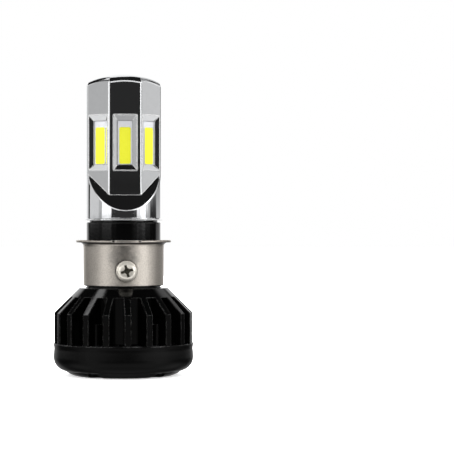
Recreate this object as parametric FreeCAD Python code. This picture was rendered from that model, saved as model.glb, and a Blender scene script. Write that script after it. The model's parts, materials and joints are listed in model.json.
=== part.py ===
import FreeCAD, Part
import math
import os

# LED headlight bulb on a 25 mm lamp flange. Millimetres, +Z up, origin on the bulb's axis at the
# bottom of the end cap. The clamp screw and the lower row of windows face -Y, the front.

# ---- driving dimensions ----
FLANGE_R = 12.5
BULB_HEIGHT = 79.2
SINK_R = 18.2
CAP_TOP_Z = 8.5
PLATEAU_Z = 23.0
FLANGE_TOP_Z = 35.55
NECK_R = 9.73
NECK_TOP_Z = 40.25
HEAD_R = 9.84

# heat sink
FIN_COUNT = 20
FIN_THICKNESS = 1.8
FIN_EDGE_CHAMFER = 0.16
PLATEAU_R = 11.7
KNEE_Z = PLATEAU_Z - (SINK_R - PLATEAU_R)
SLOT_ROOT_R = 12.2
SLOT_TOP_Z = 20.75
DRIVER_BAY_R = 10.6
DRIVER_LEDGE_R = 9.7
DRIVER_LEDGE_Z = 13.5
DRIVER_BAY_TOP_Z = 17.5
NECK_FOOT_R = 9.9
NECK_FOOT_HEIGHT = 0.3
SPIGOT_R = 8.55
GROOVE_R = 8.95
HEAD_SEAT_Z = 40.75
SPIGOT_TOP_Z = 43.35
CORE_SOCKET_Z = 27.35
CORE_SPIGOT_R = 5.6
WIRE_BORE_R = 2.0
SCREW_TRACK_R = 9.1
SCREW_TRACK_HALF = 1.7

# clamp screw, its washer and nut (M3)
SCREW_Z = 27.65
SHANK_R = 1.4
NUT_R = 2.7
NUT_BORE_R = 1.46
NUT_INNER_Y = 9.98
NUT_OUTER_Y = 11.1
SCREW_TIP_Y = SCREW_TRACK_R + 0.06
WASHER_INNER_Y = 11.65
WASHER_THICKNESS = 0.45
WASHER_R = 2.55
WASHER_GAP_DEG = 70.0
THREAD_PITCH = 0.5
THREAD_DEPTH = 0.2
SCREW_FACE_Y = 13.85
SCREW_HEAD_R = 2.68
RECESS_TURN_DEG = 15.0
RECESS_DEPTH = 0.9

# collar: a split sleeve with the lamp flange, pulled a little towards its screw
COLLAR_SHIFT = 0.2
COLLAR_INNER_R = 9.97
SHEET = 0.6
COLLAR_BOTTOM_Z = 23.55
COLLAR_BEND_R = 1.0
TAB_R = 14.2
TAB_HALF_DEG = 12.5
FLANGE_NOTCH_DEPTH = 0.9
SPLIT_WIDTH = 1.4
SPLIT_DEG = 155.0
SIDE_NOTCH_DEG = 119.0

# head: two plated shells around a six sided core
FACET_D = 6.7
SIDE_FACET_D = 7.8
SIDE_FACET_DEG = 40.0
SHELL_WALL = 1.1
SHELL_SPLIT = 0.05
SKIRT_R = 10.2
DOME_EDGE_DROP = 2.4
TOP_FILLET = 1.7
EDGE_FILLET = 0.85
FRONT_STEP_Z = 47.35
REAR_STEP_Z = 50.15
STEP_SLOPE = 1.25
WINDOW_WIDTH = 6.35
WINDOW_HEIGHT = 14.7
WINDOW_RIM = 0.24
WINDOW_RIM_LIFT = 0.2
OPENING_WIDTH = 3.95
OPENING_HEIGHT = 11.5
BEVEL_DEPTH = 0.6
FRONT_WINDOW_Z = 61.0
REAR_WINDOW_Z = 66.3

# LED boards on the core
CORE_TOP_Z = 74.95
BOARD_THICKNESS = 0.8
BOARD_WIDTH = 4.6
BOARD_LENGTH = 16.6
PACKAGE_THICKNESS = 0.7
PACKAGE_WIDTH = 3.8
PACKAGE_LENGTH = 11.35
PHOSPHOR_WIDTH = 3.0
PHOSPHOR_LENGTH = 9.6
PHOSPHOR_DROP = 0.75
PHOSPHOR_POCKET = 0.15
PHOSPHOR_THICKNESS = 0.23
RECESS_TO_PACKAGE = 0.85
LINK_BOARD_R = 5.2

# fan
FAN_BOTTOM_Z = 1.8
FAN_TOP_Z = 8.2
FAN_FRAME_R = 10.5
FAN_BORE_R = 9.7
BLADE_TIP_R = 9.4
BLADE_COUNT = 7
BLADE_PITCH_DEG = 38.0
HUB_R = 5.5
HUB_BOTTOM_Z = 2.3
HUB_TOP_Z = 6.2
STRUT_COUNT = 4
SHAFT_R = 0.5
BEARING_BORE_R = 0.54

# end cap and its fasteners
CAP_R = 18.4
CAP_WALL = 1.4
CAP_CORNER_R = 3.6
CAP_BULGE_Z = 4.9
CAP_FOOT_R = 12.6
FIXING_R = 13.4
FIXING_EAR_R = 1.9
FIXING_DEGS = (36.0, 144.0, 216.0, 324.0)
CABLE_Y = 13.3
CABLE_R = 1.8
GROMMET_NECK_R = 2.3
GROMMET_FLANGE_R = 2.75

ORIGIN = FreeCAD.Vector(0, 0, 0)
UP = FreeCAD.Vector(0, 0, 1)


def vec(x, y, z):
    return FreeCAD.Vector(x, y, z)


def cylinder(radius, bottom, top, x=0.0, y=0.0):
    return Part.makeCylinder(radius, top - bottom, vec(x, y, bottom))


def tube(outer, inner, bottom, top, x=0.0, y=0.0):
    return cylinder(outer, bottom, top, x, y).cut(cylinder(inner, bottom, top, x, y))


def box(x0, x1, y0, y1, z0, z1):
    return Part.makeBox(x1 - x0, y1 - y0, z1 - z0, vec(x0, y0, z0))


def block(width, depth, bottom, top, x=0.0, y=0.0):
    """An upright box centred on x, y."""
    return box(x - width / 2, x + width / 2, y - depth / 2, y + depth / 2, bottom, top)


def in_section(point):
    """A (radius, z) point as a place in the plane that turned() revolves."""
    return vec(point[0], 0, point[1])


def turned(start, *steps):
    """Solid of revolution about Z. Points are (radius, z); an arc step is (middle point, end point)."""
    edges = []
    here = start
    for step in steps + (start,):
        if isinstance(step[0], tuple):
            middle, end = step
            arc = Part.Arc(in_section(here), in_section(middle), in_section(end))
            edges.append(arc.toShape())
        else:
            end = step
            edges.append(Part.makeLine(in_section(here), in_section(end)))
        here = end
    return Part.Face(Part.Wire(edges)).revolve(ORIGIN, UP, 360)


def on_round(centre_r, centre_z, radius, degrees):
    """The (radius, z) point at this angle above the horizontal on a rounding with this centre."""
    a = math.radians(degrees)
    return centre_r + radius * math.cos(a), centre_z + radius * math.sin(a)


def plate(points, bottom, top):
    """A flat outline of (x, y) points, extruded from bottom to top."""
    wire = Part.makePolygon([vec(x, y, bottom) for x, y in points + points[:1]])
    return Part.Face(wire).extrude(vec(0, 0, top - bottom))


def polar(radius, azimuth_deg):
    """A point at this azimuth: 0 is the front (-Y), 90 the right (+X)."""
    a = math.radians(azimuth_deg)
    return radius * math.sin(a), -radius * math.cos(a)


def around(shape, azimuth_deg):
    """A copy of a shape made at the front, turned to this azimuth."""
    copy = shape.copy()
    copy.rotate(ORIGIN, UP, azimuth_deg)
    return copy


def save(node, *solids):
    shape = solids[0] if len(solids) == 1 else Part.makeCompound(list(solids))
    shape.exportStep("parts/" + node + ".step")


# ---- heat sink ----


def slot_tool():
    """The gap between two fins: parallel fin faces, flared by the chamfer at the rim."""
    half_pitch = math.radians(180.0 / FIN_COUNT)
    half_fin = FIN_THICKNESS / 2

    def wall_point(radius, inset):
        along = math.sqrt(radius**2 - half_fin**2)
        offset = half_fin - inset
        x = along * math.sin(half_pitch) - offset * math.cos(half_pitch)
        y = along * math.cos(half_pitch) + offset * math.sin(half_pitch)
        return x, -y

    rim = [
        wall_point(SLOT_ROOT_R, 0),
        wall_point(SINK_R - FIN_EDGE_CHAMFER, 0),
        wall_point(SINK_R + FIN_EDGE_CHAMFER, 2 * FIN_EDGE_CHAMFER),
        wall_point(SINK_R + 1, 2 * FIN_EDGE_CHAMFER),
    ]
    mirrored = [(-x, y) for x, y in reversed(rim)]
    return plate(rim + mirrored, CAP_TOP_Z - 1, SLOT_TOP_Z)


def is_fin_cone_edge(edge):
    """The sloping edges of the fins between the knee and the top of the slots."""
    bounds = edge.BoundBox
    within_slots = bounds.ZMin > KNEE_Z - 0.3 and bounds.ZMax < SLOT_TOP_Z + 0.1
    return within_slots and bounds.ZLength > 0.8 * (SLOT_TOP_Z - KNEE_Z)


def make_heat_sink():
    edge = 0.3
    foot_top = PLATEAU_Z + NECK_FOOT_HEIGHT
    body = turned(
        (0, CAP_TOP_Z),
        (SINK_R, CAP_TOP_Z),
        (SINK_R, KNEE_Z),
        (PLATEAU_R, PLATEAU_Z),
        (NECK_FOOT_R, PLATEAU_Z),
        (NECK_FOOT_R, foot_top),
        (NECK_R, foot_top),
        (NECK_R, SCREW_Z - SCREW_TRACK_HALF),
        (SCREW_TRACK_R, SCREW_Z - SCREW_TRACK_HALF),
        (SCREW_TRACK_R, SCREW_Z + SCREW_TRACK_HALF),
        (NECK_R, SCREW_Z + SCREW_TRACK_HALF),
        (NECK_R, NECK_TOP_Z - edge),
        (on_round(NECK_R - edge, NECK_TOP_Z - edge, edge, 45), (NECK_R - edge, NECK_TOP_Z)),
        (GROOVE_R, NECK_TOP_Z),
        (GROOVE_R, HEAD_SEAT_Z),
        (SPIGOT_R, HEAD_SEAT_Z),
        (SPIGOT_R, SPIGOT_TOP_Z),
        (0, SPIGOT_TOP_Z),
    )
    slot = slot_tool()
    slots = [around(slot, 360.0 / FIN_COUNT * (i + 0.5)) for i in range(FIN_COUNT)]
    body = body.cut(Part.makeCompound(slots))
    body = body.makeChamfer(FIN_EDGE_CHAMFER, [e for e in body.Edges if is_fin_cone_edge(e)])
    bay = turned(
        (0, CAP_TOP_Z),
        (DRIVER_BAY_R, CAP_TOP_Z),
        (DRIVER_BAY_R, DRIVER_LEDGE_Z),
        (DRIVER_LEDGE_R, DRIVER_LEDGE_Z),
        (DRIVER_LEDGE_R, DRIVER_BAY_TOP_Z),
        (0, DRIVER_BAY_TOP_Z),
    )
    body = body.cut(bay)
    for x in BOARD_SCREW_XS:
        body = body.fuse(cylinder(BOARD_BOSS_R, DRIVER_LEDGE_Z, DRIVER_BAY_TOP_Z + 0.5, x))
        body = body.cut(cylinder(BOARD_SCREW_R + 0.05, DRIVER_LEDGE_Z, DRIVER_BAY_TOP_Z + 1.5, x))
    body = body.cut(cylinder(WIRE_BORE_R, DRIVER_BAY_TOP_Z, CORE_SOCKET_Z))
    body = body.cut(cylinder(CORE_SPIGOT_R + 0.02, CORE_SOCKET_Z, SPIGOT_TOP_Z))
    for azimuth in FIXING_DEGS:
        x, y = polar(FIXING_R, azimuth)
        body = body.fuse(cylinder(FIXING_EAR_R, CAP_TOP_Z, CAP_SCREW_TIP_Z + 1.5, x, y))
        body = body.cut(cylinder(CAP_SCREW_HOLE_R, CAP_TOP_Z, CAP_SCREW_TIP_Z + 0.6, x, y))
    return body.removeSplitter()


# ---- head shells ----


def step_plane_z(level, distance):
    """Height of the sloping shelf below the facets, at this distance from the axis."""
    return level - STEP_SLOPE * (distance - FACET_D)


def facet_waste(level):
    """What the front facets and the sloping shelf below them take away from the round head."""
    far = 15.0
    above = BULB_HEIGHT + 5
    side = [
        vec(0, -far, step_plane_z(level, far)),
        vec(0, 0, step_plane_z(level, 0)),
        vec(0, 0, above),
        vec(0, -far, above),
    ]
    region = Part.Face(Part.makePolygon(side + side[:1])).extrude(vec(2 * far, 0, 0))
    region.translate(vec(-far, 0, 0))
    return region.cut(faceted_bar(0.0, 0.0, above))


def faceted_bar(inset, bottom, top):
    """The six sided bar that the facets bound, moved in from them by inset."""
    centre_d = FACET_D - inset
    side_d = SIDE_FACET_D - inset
    lean = math.radians(SIDE_FACET_DEG)
    edge_x = (side_d - centre_d * math.cos(lean)) / math.sin(lean)
    tip_x = side_d / math.sin(lean)
    front = [(-tip_x, 0), (-edge_x, -centre_d), (edge_x, -centre_d), (tip_x, 0)]
    rear = [(edge_x, centre_d), (-edge_x, centre_d)]
    return plate(front + rear, bottom, top)


def outer_head():
    """The outside of both shells as one closed body, before the windows."""
    dome_r = (HEAD_R**2 + DOME_EDGE_DROP**2) / (2 * DOME_EDGE_DROP)
    dome_centre_z = BULB_HEIGHT - dome_r
    lip = 0.2
    flare = SKIRT_R - HEAD_R
    body = turned(
        (0, HEAD_SEAT_Z),
        (SKIRT_R, HEAD_SEAT_Z),
        (SKIRT_R, HEAD_SEAT_Z + lip),
        (on_round(SKIRT_R, HEAD_SEAT_Z + lip + flare, flare, 225), (HEAD_R, HEAD_SEAT_Z + lip + flare)),
        (HEAD_R, BULB_HEIGHT - DOME_EDGE_DROP),
        ((HEAD_R / 2, dome_centre_z + math.sqrt(dome_r**2 - HEAD_R**2 / 4)), (0, BULB_HEIGHT)),
    )
    front = facet_waste(FRONT_STEP_Z)
    rear = around(facet_waste(REAR_STEP_Z), 180)
    body = body.cut(front).cut(rear)
    softened = body.makeFillet(EDGE_FILLET, [e for e in body.Edges if is_facet_edge(e)])
    rounded_top = body.makeFillet(TOP_FILLET, [e for e in body.Edges if is_top_edge(e)])
    return softened.common(rounded_top).Solids[0]


def is_top_edge(edge):
    """The edges round the dome, but not the dome's own seam."""
    middle = edge.CenterOfMass
    return edge.BoundBox.ZMin > BULB_HEIGHT - 3 and math.hypot(middle.x, middle.y) > HEAD_R / 2


def is_facet_edge(edge):
    """The upright edges of the facets and the edges of the sloping shelves below them."""
    bounds = edge.BoundBox
    upright = bounds.ZLength > 20 and abs(edge.CenterOfMass.y) > 0.1
    shelf = bounds.ZMin > HEAD_SEAT_Z + 1 and bounds.ZMax < FRONT_WINDOW_Z
    return upright or shelf


def side_shift():
    """How far the middle of a side facet lies from the foot of the axis' perpendicular on it."""
    lean = math.radians(SIDE_FACET_DEG)
    edge_x = (SIDE_FACET_D - FACET_D * math.cos(lean)) / math.sin(lean)
    start = -math.sqrt(edge_x**2 + FACET_D**2 - SIDE_FACET_D**2)
    end = math.sqrt(HEAD_R**2 - SIDE_FACET_D**2)
    return (start + end) / 2


# name, azimuth, distance from the axis, shift along the facet, height of the window's middle
FACETS = [
    ("front_left", -SIDE_FACET_DEG, SIDE_FACET_D, -side_shift(), FRONT_WINDOW_Z),
    ("front_centre", 0.0, FACET_D, 0.0, FRONT_WINDOW_Z),
    ("front_right", SIDE_FACET_DEG, SIDE_FACET_D, side_shift(), FRONT_WINDOW_Z),
    ("rear_right", 180 - SIDE_FACET_DEG, SIDE_FACET_D, -side_shift(), REAR_WINDOW_Z),
    ("rear_centre", 180.0, FACET_D, 0.0, REAR_WINDOW_Z),
    ("rear_left", 180 + SIDE_FACET_DEG, SIDE_FACET_D, side_shift(), REAR_WINDOW_Z),
]


def on_facet(shape, facet):
    """A shape made with the facet's plane at y = 0 and the window's middle at the origin, put in place."""
    _, azimuth, distance, shift, middle_z = facet
    copy = shape.copy()
    copy.translate(vec(shift, -distance, middle_z))
    copy.rotate(ORIGIN, UP, azimuth)
    return copy


def rect_wire(width, height, y):
    x = width / 2
    z = height / 2
    points = [vec(-x, y, -z), vec(x, y, -z), vec(x, y, z), vec(-x, y, z)]
    return Part.makePolygon(points + points[:1])


def window_rim():
    """The raised frame round a window, before its opening is cut."""
    half_w = WINDOW_WIDTH / 2
    half_h = WINDOW_HEIGHT / 2
    rim = box(-half_w, half_w, -WINDOW_RIM_LIFT, SHELL_WALL / 2, -half_h, half_h)
    corners = [e for e in rim.Edges if e.BoundBox.YLength > SHELL_WALL / 2]
    rim = rim.makeFillet(0.3, corners)
    front_edges = [e for e in rim.Edges if e.BoundBox.YMax < -WINDOW_RIM_LIFT / 2]
    return rim.makeFillet(0.09, front_edges)


def window_opening():
    """The sloping surround and the straight hole through the wall behind it."""
    inside = 2 * WINDOW_RIM
    mouth = rect_wire(WINDOW_WIDTH - inside, WINDOW_HEIGHT - inside, -WINDOW_RIM_LIFT)
    throat = rect_wire(OPENING_WIDTH, OPENING_HEIGHT, BEVEL_DEPTH)
    surround = Part.makeLoft([mouth, throat], True)
    half_w = OPENING_WIDTH / 2
    half_h = OPENING_HEIGHT / 2
    hole = box(-half_w, half_w, BEVEL_DEPTH, SHELL_WALL + 0.3, -half_h, half_h)
    return surround.fuse(hole)


def make_head_shells():
    """Front and rear shells, parted in the plane of the axis and X."""
    body = outer_head()
    inner_r = HEAD_R - SHELL_WALL
    ceiling = CORE_TOP_Z + 1.4
    room = faceted_bar(SHELL_WALL, SPIGOT_TOP_Z, ceiling)
    room = room.common(cylinder(inner_r, SPIGOT_TOP_Z, ceiling))
    seat = cylinder(SPIGOT_R + 0.03, HEAD_SEAT_Z, SPIGOT_TOP_Z + 0.1)
    for facet in FACETS:
        body = body.fuse(on_facet(window_rim(), facet))
    body = body.cut(room).cut(seat)
    for facet in FACETS:
        body = body.cut(on_facet(window_opening(), facet))
    far = 2 * HEAD_R
    front = body.common(box(-far, far, -far, -SHELL_SPLIT, 0, 2 * BULB_HEIGHT))
    rear = body.common(box(-far, far, SHELL_SPLIT, far, 0, 2 * BULB_HEIGHT))
    return front, rear


# ---- core, boards and LEDs ----


def make_core():
    bar = faceted_bar(RECESS_TO_PACKAGE + PACKAGE_THICKNESS + BOARD_THICKNESS, SPIGOT_TOP_Z, CORE_TOP_Z)
    spigot = cylinder(CORE_SPIGOT_R, CORE_SOCKET_Z, SPIGOT_TOP_Z)
    return bar.fuse(spigot).cut(cylinder(WIRE_BORE_R, CORE_SOCKET_Z, CORE_TOP_Z))


def make_led_board():
    back = RECESS_TO_PACKAGE + PACKAGE_THICKNESS + BOARD_THICKNESS
    half_w = BOARD_WIDTH / 2
    half_l = BOARD_LENGTH / 2
    return box(-half_w, half_w, back - BOARD_THICKNESS, back, -half_l, half_l)


def phosphor_pad(width, length, thickness):
    """A flat pad with rounded corners, its front face at y = 0."""
    half_w = width / 2
    half_l = length / 2
    pad = box(-half_w, half_w, 0, thickness, -half_l - PHOSPHOR_DROP, half_l - PHOSPHOR_DROP)
    return pad.makeFillet(0.5, [e for e in pad.Edges if e.BoundBox.YLength > thickness / 2])


def make_led_package():
    half_w = PACKAGE_WIDTH / 2
    half_l = PACKAGE_LENGTH / 2
    front = RECESS_TO_PACKAGE
    body = box(-half_w, half_w, front, front + PACKAGE_THICKNESS, -half_l, half_l)
    pocket = phosphor_pad(PHOSPHOR_WIDTH, PHOSPHOR_LENGTH, PHOSPHOR_POCKET)
    pocket.translate(vec(0, front, 0))
    return body.cut(pocket)


def make_phosphor():
    pad = phosphor_pad(PHOSPHOR_WIDTH, PHOSPHOR_LENGTH, PHOSPHOR_THICKNESS)
    pad.translate(vec(0, RECESS_TO_PACKAGE + PHOSPHOR_POCKET - PHOSPHOR_THICKNESS, 0))
    return pad


def make_head_inside():
    save("core_bar", make_core())
    for facet in FACETS:
        save("led_board_" + facet[0], on_facet(make_led_board(), facet))
        save("led_package_" + facet[0], on_facet(make_led_package(), facet))
        save("phosphor_" + facet[0], on_facet(make_phosphor(), facet))
    link_top = CORE_TOP_Z + BOARD_THICKNESS
    link_board = faceted_bar(RECESS_TO_PACKAGE + PACKAGE_THICKNESS, CORE_TOP_Z, link_top)
    save("link_board", link_board.common(cylinder(LINK_BOARD_R, CORE_TOP_Z, link_top)))


# ---- driver ----

BOARD_BOTTOM_Z = DRIVER_LEDGE_Z - 1.0
BOARD_SCREW_XS = (-7.0, 7.0)
BOARD_SCREW_R = 0.7
BOARD_SCREW_HEAD_R = 1.4
BOARD_BOSS_R = 1.8
WIRE_X = 0.9
WIRE_R = 0.4
CHIP_HEIGHT = 1.1
CONNECTOR_Y = 6.2
CONNECTOR_HEIGHT = 3.0
CONNECTOR_WALL = 0.4
PIN_XS = (-1.6, 0.0, 1.6)
PIN_R = 0.35


def make_driver_board():
    board = cylinder(DRIVER_BAY_R - 0.15, BOARD_BOTTOM_Z, DRIVER_LEDGE_Z)
    for x in BOARD_SCREW_XS:
        board = board.cut(cylinder(BOARD_SCREW_R + 0.15, BOARD_BOTTOM_Z, DRIVER_LEDGE_Z, x))
    for x in PIN_XS:
        board = board.cut(cylinder(PIN_R, BOARD_BOTTOM_Z, DRIVER_LEDGE_Z, x, CONNECTOR_Y))
    return board


def make_connector():
    bottom = BOARD_BOTTOM_Z - CONNECTOR_HEIGHT
    roof = BOARD_BOTTOM_Z - CONNECTOR_WALL
    connector = block(5.6, 3.4, bottom, BOARD_BOTTOM_Z, 0, CONNECTOR_Y)
    for x in PIN_XS:
        connector = connector.cut(block(1.1, 1.1, bottom, roof, x, CONNECTOR_Y))
        connector = connector.cut(cylinder(PIN_R, roof, BOARD_BOTTOM_Z, x, CONNECTOR_Y))
    return connector


def make_pins():
    bottom = BOARD_BOTTOM_Z - CONNECTOR_HEIGHT + 0.6
    top = DRIVER_LEDGE_Z + 0.5
    return [cylinder(PIN_R, bottom, top, x, CONNECTOR_Y) for x in PIN_XS]


def make_board_screws():
    head_bottom = BOARD_BOTTOM_Z - 1.0
    screws = []
    for x in BOARD_SCREW_XS:
        head = cylinder(BOARD_SCREW_HEAD_R, head_bottom, BOARD_BOTTOM_Z, x)
        slot = block(2.2, 0.4, head_bottom, head_bottom + 0.4, x)
        shank = cylinder(BOARD_SCREW_R, BOARD_BOTTOM_Z, DRIVER_LEDGE_Z + 3.0, x)
        screws.append(head.cut(slot).fuse(shank))
    return screws


def make_driver():
    ledge = DRIVER_LEDGE_Z
    save("driver_board", make_driver_board())
    save("driver_inductor", tube(2.6, 1.0, ledge, ledge + 2.8, 0, -5.6))
    save("driver_capacitors", *[cylinder(1.9, ledge, ledge + 3.6, x, 5.2) for x in (-3.9, 3.9)])
    chip_bottom = BOARD_BOTTOM_Z - CHIP_HEIGHT
    chips = [block(4.0, 3.2, chip_bottom, BOARD_BOTTOM_Z, x, -3.6) for x in (-3.0, 3.0)]
    save("driver_chips", *chips)
    save("input_connector", make_connector())
    save("connector_pins", *make_pins())
    save("board_screws", *make_board_screws())
    for name, x in (("positive_feed_wire", WIRE_X), ("negative_feed_wire", -WIRE_X)):
        save(name, cylinder(WIRE_R, ledge, CORE_TOP_Z, x))


# ---- collar, clamp nut and clamp screw ----


def along_screw(shape):
    """Turns a shape made about +Z so that its axis is the screw's, pointing out of the front."""
    copy = shape.copy()
    copy.rotate(ORIGIN, vec(1, 0, 0), 90)
    copy.translate(vec(0, 0, SCREW_Z))
    return copy


def make_sleeve():
    """The sleeve and its flange, joined by a bend."""
    outer = COLLAR_INNER_R + SHEET
    under = FLANGE_TOP_Z - SHEET
    bend_x = outer + COLLAR_BEND_R
    bend_z = under - COLLAR_BEND_R
    edge = 0.3
    rim_round = 0.2
    return turned(
        (COLLAR_INNER_R, COLLAR_BOTTOM_Z),
        (outer - edge, COLLAR_BOTTOM_Z),
        (on_round(outer - edge, COLLAR_BOTTOM_Z + edge, edge, -45), (outer, COLLAR_BOTTOM_Z + edge)),
        (outer, bend_z),
        (on_round(bend_x, bend_z, COLLAR_BEND_R, 135), (bend_x, under)),
        (FLANGE_R - rim_round, under),
        ((FLANGE_R, under + SHEET / 2), (FLANGE_R - rim_round, FLANGE_TOP_Z)),
        (bend_x, FLANGE_TOP_Z),
        (on_round(bend_x, bend_z, COLLAR_BEND_R + SHEET, 135), (COLLAR_INNER_R, bend_z)),
    )


def make_collar():
    under = FLANGE_TOP_Z - SHEET
    tab_half = TAB_R * math.sin(math.radians(TAB_HALF_DEG))
    tab = box(-tab_half, tab_half, -TAB_R - 1, -FLANGE_R + 1, under, FLANGE_TOP_Z)
    tab = tab.common(cylinder(TAB_R, under, FLANGE_TOP_Z))
    corners = [e for e in tab.Edges if e.BoundBox.ZLength > SHEET / 2 and e.CenterOfMass.y < -FLANGE_R]
    body = make_sleeve().fuse(tab.makeFillet(0.5, corners))
    below = under - 1
    above = FLANGE_TOP_Z + 1
    relief = box(tab_half, tab_half + 0.7, -TAB_R, -FLANGE_R + 0.95, below, above)
    body = body.cut(relief).cut(relief.mirror(ORIGIN, vec(1, 0, 0)))
    notch = box(-0.85, 0.85, -FLANGE_R - 1, -FLANGE_R + FLANGE_NOTCH_DEPTH, below, above)
    body = body.cut(around(notch, -SIDE_NOTCH_DEG))
    half_split = SPLIT_WIDTH / 2
    split_top = under - COLLAR_BEND_R + 0.2
    split = box(-half_split, half_split, -FLANGE_R, -COLLAR_INNER_R + 1, COLLAR_BOTTOM_Z - 1, split_top)
    body = body.cut(around(split, -SPLIT_DEG))
    body.translate(vec(0, -COLLAR_SHIFT, 0))
    return body.cut(along_screw(cylinder(NUT_R, 0, 2 * FLANGE_R)))


def make_clamp_nut():
    edge = 0.18
    nut = turned(
        (NUT_BORE_R, NUT_INNER_Y),
        (NUT_R, NUT_INNER_Y),
        (NUT_R, NUT_OUTER_Y - edge),
        (NUT_R - edge, NUT_OUTER_Y),
        (NUT_BORE_R + edge, NUT_OUTER_Y),
        (NUT_BORE_R, NUT_OUTER_Y - edge),
    )
    return along_screw(nut)


def make_lock_washer():
    top = WASHER_INNER_Y + WASHER_THICKNESS
    ring = tube(WASHER_R, NUT_BORE_R, WASHER_INNER_Y, top)
    gap = box(-0.2, 0.2, 0, WASHER_R + 1, WASHER_INNER_Y, top)
    gap.rotate(ORIGIN, UP, WASHER_GAP_DEG)
    return along_screw(ring.cut(gap))


def thread_rings(top):
    """The thread as rings a pitch apart, from the tip up to the plain part below the head."""
    crest = THREAD_PITCH / 5
    rings = []
    along = SCREW_TIP_Y + THREAD_PITCH / 2
    while along + THREAD_PITCH < top:
        rings.append((SHANK_R, along + crest))
        rings.append((SHANK_R - THREAD_DEPTH, along + THREAD_PITCH / 2))
        rings.append((SHANK_R, along + THREAD_PITCH - crest))
        along += THREAD_PITCH
    return rings


def cross_recess():
    """A four armed recess with a deeper cone in its middle, for the top of a screw made about +Z."""
    floor = SCREW_FACE_Y - RECESS_DEPTH
    arm = block(0.68, 3.2, floor, SCREW_FACE_Y + 1)
    cross = arm.fuse(block(3.2, 0.68, floor, SCREW_FACE_Y + 1))
    cone_depth = RECESS_DEPTH + 0.4
    cross = cross.fuse(Part.makeCone(0.25, 0.95, cone_depth, vec(0, 0, SCREW_FACE_Y - cone_depth)))
    cross.rotate(ORIGIN, UP, RECESS_TURN_DEG)
    return cross


def make_clamp_screw():
    """A domed head on a threaded shank."""
    seat = WASHER_INNER_Y + WASHER_THICKNESS
    height = SCREW_FACE_Y - seat
    core_r = SHANK_R - THREAD_DEPTH
    tip = [(core_r - 0.1, SCREW_TIP_Y), (SHANK_R - 0.05, SCREW_TIP_Y + THREAD_PITCH / 2)]
    head = [
        (core_r, seat - 0.15),
        (core_r, seat),
        (SCREW_HEAD_R - 0.12, seat),
        ((SCREW_HEAD_R - 0.03, seat + 0.05), (SCREW_HEAD_R, seat + 0.16)),
        (SCREW_HEAD_R, seat + 0.4),
        ((SCREW_HEAD_R * 0.86, seat + height * 0.72), (SCREW_HEAD_R * 0.5, seat + height * 0.95)),
        ((SCREW_HEAD_R * 0.26, seat + height * 0.99), (0, SCREW_FACE_Y)),
    ]
    screw = turned((0, SCREW_TIP_Y), *(tip + thread_rings(seat - 0.2) + head))
    return along_screw(screw.cut(cross_recess()))


# ---- fan ----

STATOR_R = 3.6
MAGNET_INNER_R = 3.95
YOKE_INNER_R = 4.58
YOKE_OUTER_R = 4.88
BEARING_R = 1.2
BEARING_TUBE_R = 1.75
MOTOR_PLATE_Z = 7.4
EAR_BOTTOM_Z = 7.2


def make_fan_frame():
    plate_r = STATOR_R + 0.3
    frame = tube(FAN_FRAME_R, FAN_BORE_R, FAN_BOTTOM_Z, FAN_TOP_Z)
    frame = frame.fuse(cylinder(plate_r, MOTOR_PLATE_Z, FAN_TOP_Z))
    strut = box(-0.7, 0.7, -FAN_BORE_R - 0.3, -plate_r + 0.5, MOTOR_PLATE_Z, FAN_TOP_Z)
    for i in range(STRUT_COUNT):
        frame = frame.fuse(around(strut, 360.0 / STRUT_COUNT * i))
    bearing_tube_bottom = HUB_BOTTOM_Z + 1.3
    frame = frame.fuse(tube(BEARING_TUBE_R, BEARING_R, bearing_tube_bottom, MOTOR_PLATE_Z))
    for azimuth in FIXING_DEGS:
        arm = box(-1.5, 1.5, -FIXING_R, -FAN_FRAME_R + 0.4, EAR_BOTTOM_Z, CAP_TOP_Z)
        ear = arm.fuse(cylinder(FIXING_EAR_R, EAR_BOTTOM_Z, CAP_TOP_Z, 0, -FIXING_R))
        ear = ear.cut(cylinder(CAP_SCREW_HOLE_R, EAR_BOTTOM_Z, CAP_TOP_Z, 0, -FIXING_R))
        frame = frame.fuse(around(ear, azimuth))
    return frame.removeSplitter()


def make_stator():
    bottom = HUB_BOTTOM_Z + 2.0
    top = bottom + 1.6
    core = tube(STATOR_R, BEARING_TUBE_R + 0.02, bottom, top)
    window = box(-3.0, -0.55, -3.0, -0.55, bottom, top).fuse(box(0.55, 3.0, -3.0, -0.55, bottom, top))
    window = window.fuse(around(window, 180))
    arms = cylinder(STATOR_R - 0.6, bottom, top).common(window)
    mouths = box(-STATOR_R, STATOR_R, -0.3, 0.3, bottom, top)
    mouths = mouths.cut(cylinder(STATOR_R - 0.7, bottom, top))
    core = core.cut(arms.cut(cylinder(BEARING_TUBE_R + 0.5, bottom, top)))
    core = core.cut(around(mouths, 45)).cut(around(mouths, 135))
    save("stator_core", core)
    coil = box(-1.1, 1.1, -STATOR_R + 0.9, -BEARING_TUBE_R - 0.6, bottom - 0.5, top + 0.5)
    coil = coil.cut(box(-0.6, 0.6, -STATOR_R, 0, bottom - 0.02, top + 0.02))
    save("stator_coils", *[around(coil, 90.0 * i) for i in range(4)])


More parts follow.
